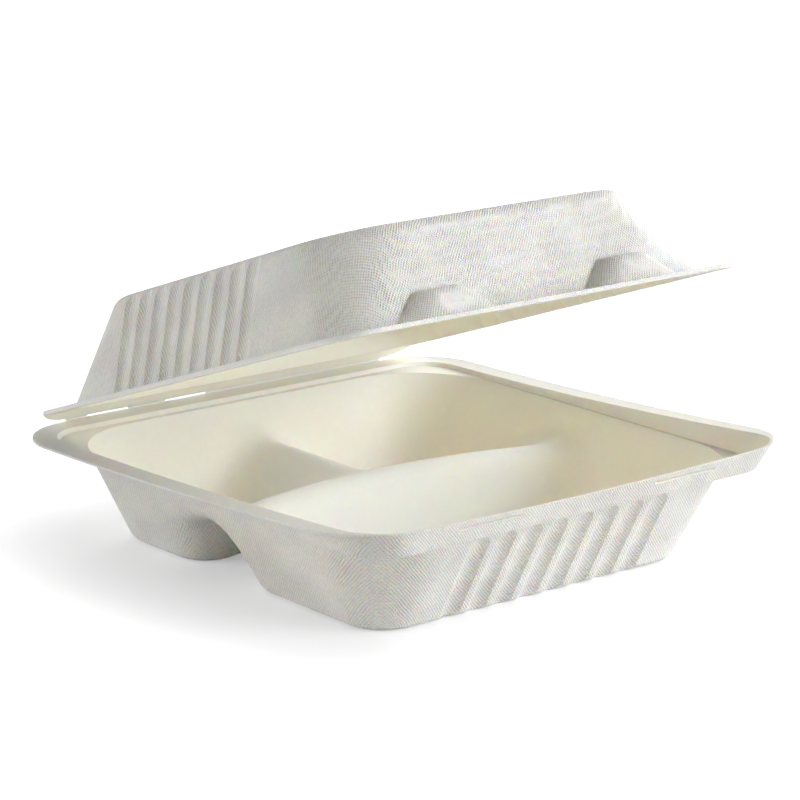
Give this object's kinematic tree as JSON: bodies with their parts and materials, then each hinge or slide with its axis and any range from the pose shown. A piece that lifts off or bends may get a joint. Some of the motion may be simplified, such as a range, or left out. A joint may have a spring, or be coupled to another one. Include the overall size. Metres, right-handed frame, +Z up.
{
  "type": "moulded fibre clamshell container",
  "caption": "Hinged moulded fibre food box: a fluted tray divided into compartments and a domed, fluted lid that swings on a slitted fold.",
  "frame": {"origin": "on the table under the middle of the tray", "axes": "+Z up from the table, +X from the fold to the front rim, Y along the fold"},
  "size_m": [0.2325, 0.23, 0.1504],
  "materials": {
    "fibre": "matte pressed fibre, smooth inside and with a fine mesh mark outside"
  },
  "bodies": {
    "tray": {"tray": "fibre"},
    "lid": {"lid": "fibre"}
  },
  "joints": [
    {"name": "lid_fold", "type": "hinge", "parent": "tray", "child": "lid", "pos_m": [-0.11625, 0, 0.0432], "axis": [0, -1, 0], "range_deg": [-20.65, 158.5]}
  ]
}
